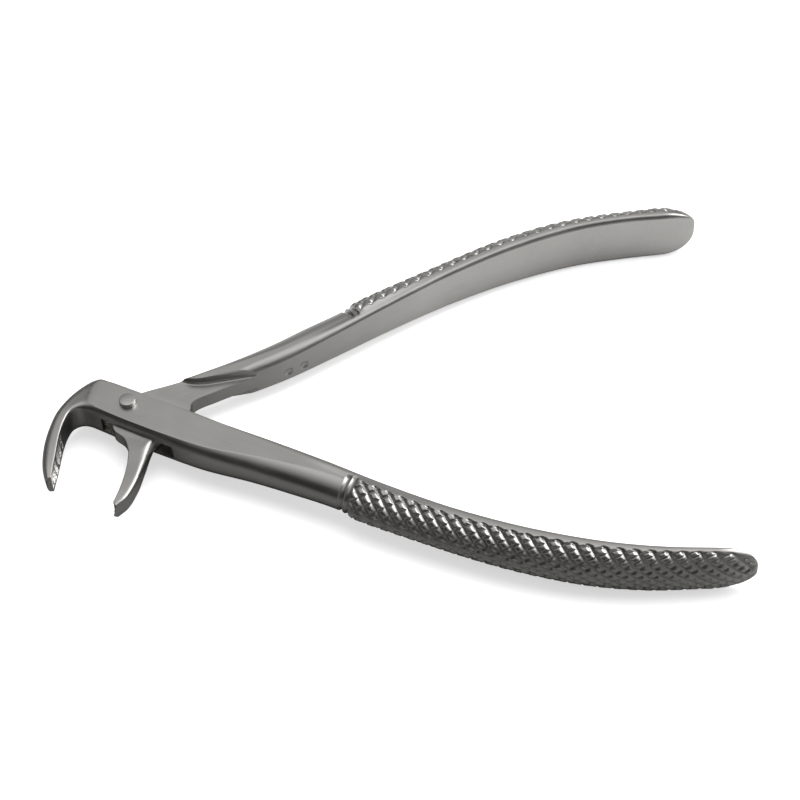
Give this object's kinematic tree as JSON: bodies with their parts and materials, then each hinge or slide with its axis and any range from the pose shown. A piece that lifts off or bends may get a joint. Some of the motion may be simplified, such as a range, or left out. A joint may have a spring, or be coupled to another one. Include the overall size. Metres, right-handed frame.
{
  "type": "extraction forceps",
  "caption": "Hand forceps with knurled handles, a box joint and short hooked beaks set across the handles, for gripping lower back teeth.",
  "frame": {"origin": "centre of the pivot pin's rear end face, on the pivot axis", "axes": "+Z along the pivot axis, out of the front face; +X halves the angle between the open handles, from the pivot towards the handles; +Y towards the tongue half's handle. The beaks reach towards -Y"},
  "size_m": [0.1614, 0.1099, 0.0143],
  "materials": {
    "steel_box_half": "satin, bead blasted",
    "steel_tongue_half": "satin, bead blasted",
    "steel_pivot_pin": "turned and lightly polished"
  },
  "bodies": {
    "box_half": {"box_half": "steel_box_half", "pivot_pin": "steel_pivot_pin"},
    "tongue_half": {"tongue_half": "steel_tongue_half"}
  },
  "joints": [
    {"name": "pivot", "type": "hinge", "parent": "box_half", "child": "tongue_half", "pos_m": [0, 0, 0.00555], "axis": [0, 0, 1], "range_deg": [-33.5, 12]}
  ]
}
